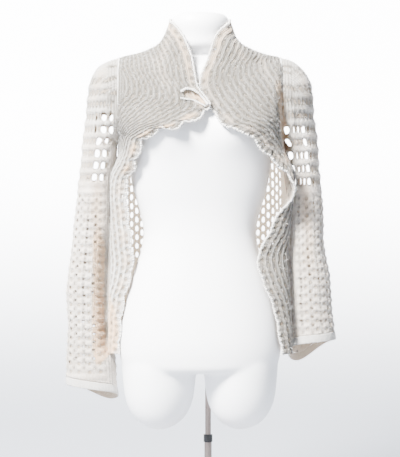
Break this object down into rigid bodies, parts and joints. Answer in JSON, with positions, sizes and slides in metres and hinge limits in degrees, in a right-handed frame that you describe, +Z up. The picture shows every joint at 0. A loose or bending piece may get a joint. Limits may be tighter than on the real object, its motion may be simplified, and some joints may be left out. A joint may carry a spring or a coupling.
{
  "type": "openwork knitted cardigan on a limbless dress form stand",
  "caption": "Long-sleeved open-front lace-knit cardigan with a shawl collar, draped on a limbless dress form on a pole and round base.",
  "frame": {"origin": "middle of the base plate's underside, on the pole's axis", "axes": "+Z up, the cardigan's front faces -Y, +X to the right of someone looking at its front"},
  "size_m": [0.5717, 0.3685, 1.098],
  "materials": {
    "ivory_knit": "hairy wool lace knit, matt",
    "form_shell": "smooth white, satin",
    "pole_metal": "brushed, warm nickel",
    "clamp_black": "black, satin"
  },
  "bodies": {
    "root": {"form": "form_shell", "base_plate": "pole_metal", "hub": "pole_metal", "lower_tube": "pole_metal", "pole": "pole_metal", "clamp_collar": "clamp_black", "back": "ivory_knit", "collar_back": "ivory_knit", "front_left": "ivory_knit", "front_right": "ivory_knit", "edging_left": "ivory_knit", "edging_right": "ivory_knit", "sleeve_left_front": "ivory_knit", "sleeve_left_back": "ivory_knit", "sleeve_right_front": "ivory_knit", "sleeve_right_back": "ivory_knit", "cuff_left": "ivory_knit", "cuff_right": "ivory_knit"}
  },
  "joints": []
}
